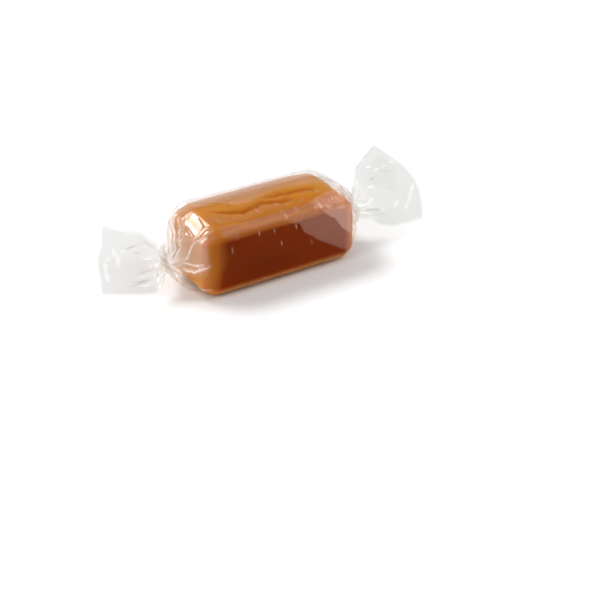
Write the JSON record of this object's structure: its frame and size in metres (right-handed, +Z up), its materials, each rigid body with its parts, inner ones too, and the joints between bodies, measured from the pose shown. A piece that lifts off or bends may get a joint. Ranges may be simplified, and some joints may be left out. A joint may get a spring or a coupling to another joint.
{
  "type": "wrapped caramel candy",
  "caption": "Soft caramel bar in a clear film wrapper, gathered and twisted shut at each end, with flat flared film tails.",
  "frame": {"origin": "middle of the wrapper's footprint, on the surface the sweet rests on", "axes": "+X along the bar towards its wider, more lifted tail; -Y is the front; +Z up"},
  "size_m": [0.0716, 0.0166, 0.0175],
  "materials": {
    "caramel": "soft golden brown caramel, smooth and slightly waxy, a little uneven in tone",
    "film": "clear thin film, glossy, slightly milky where it is folded or gathered"
  },
  "bodies": {
    "root": {"caramel": "caramel", "wrapper": "film"}
  },
  "joints": []
}
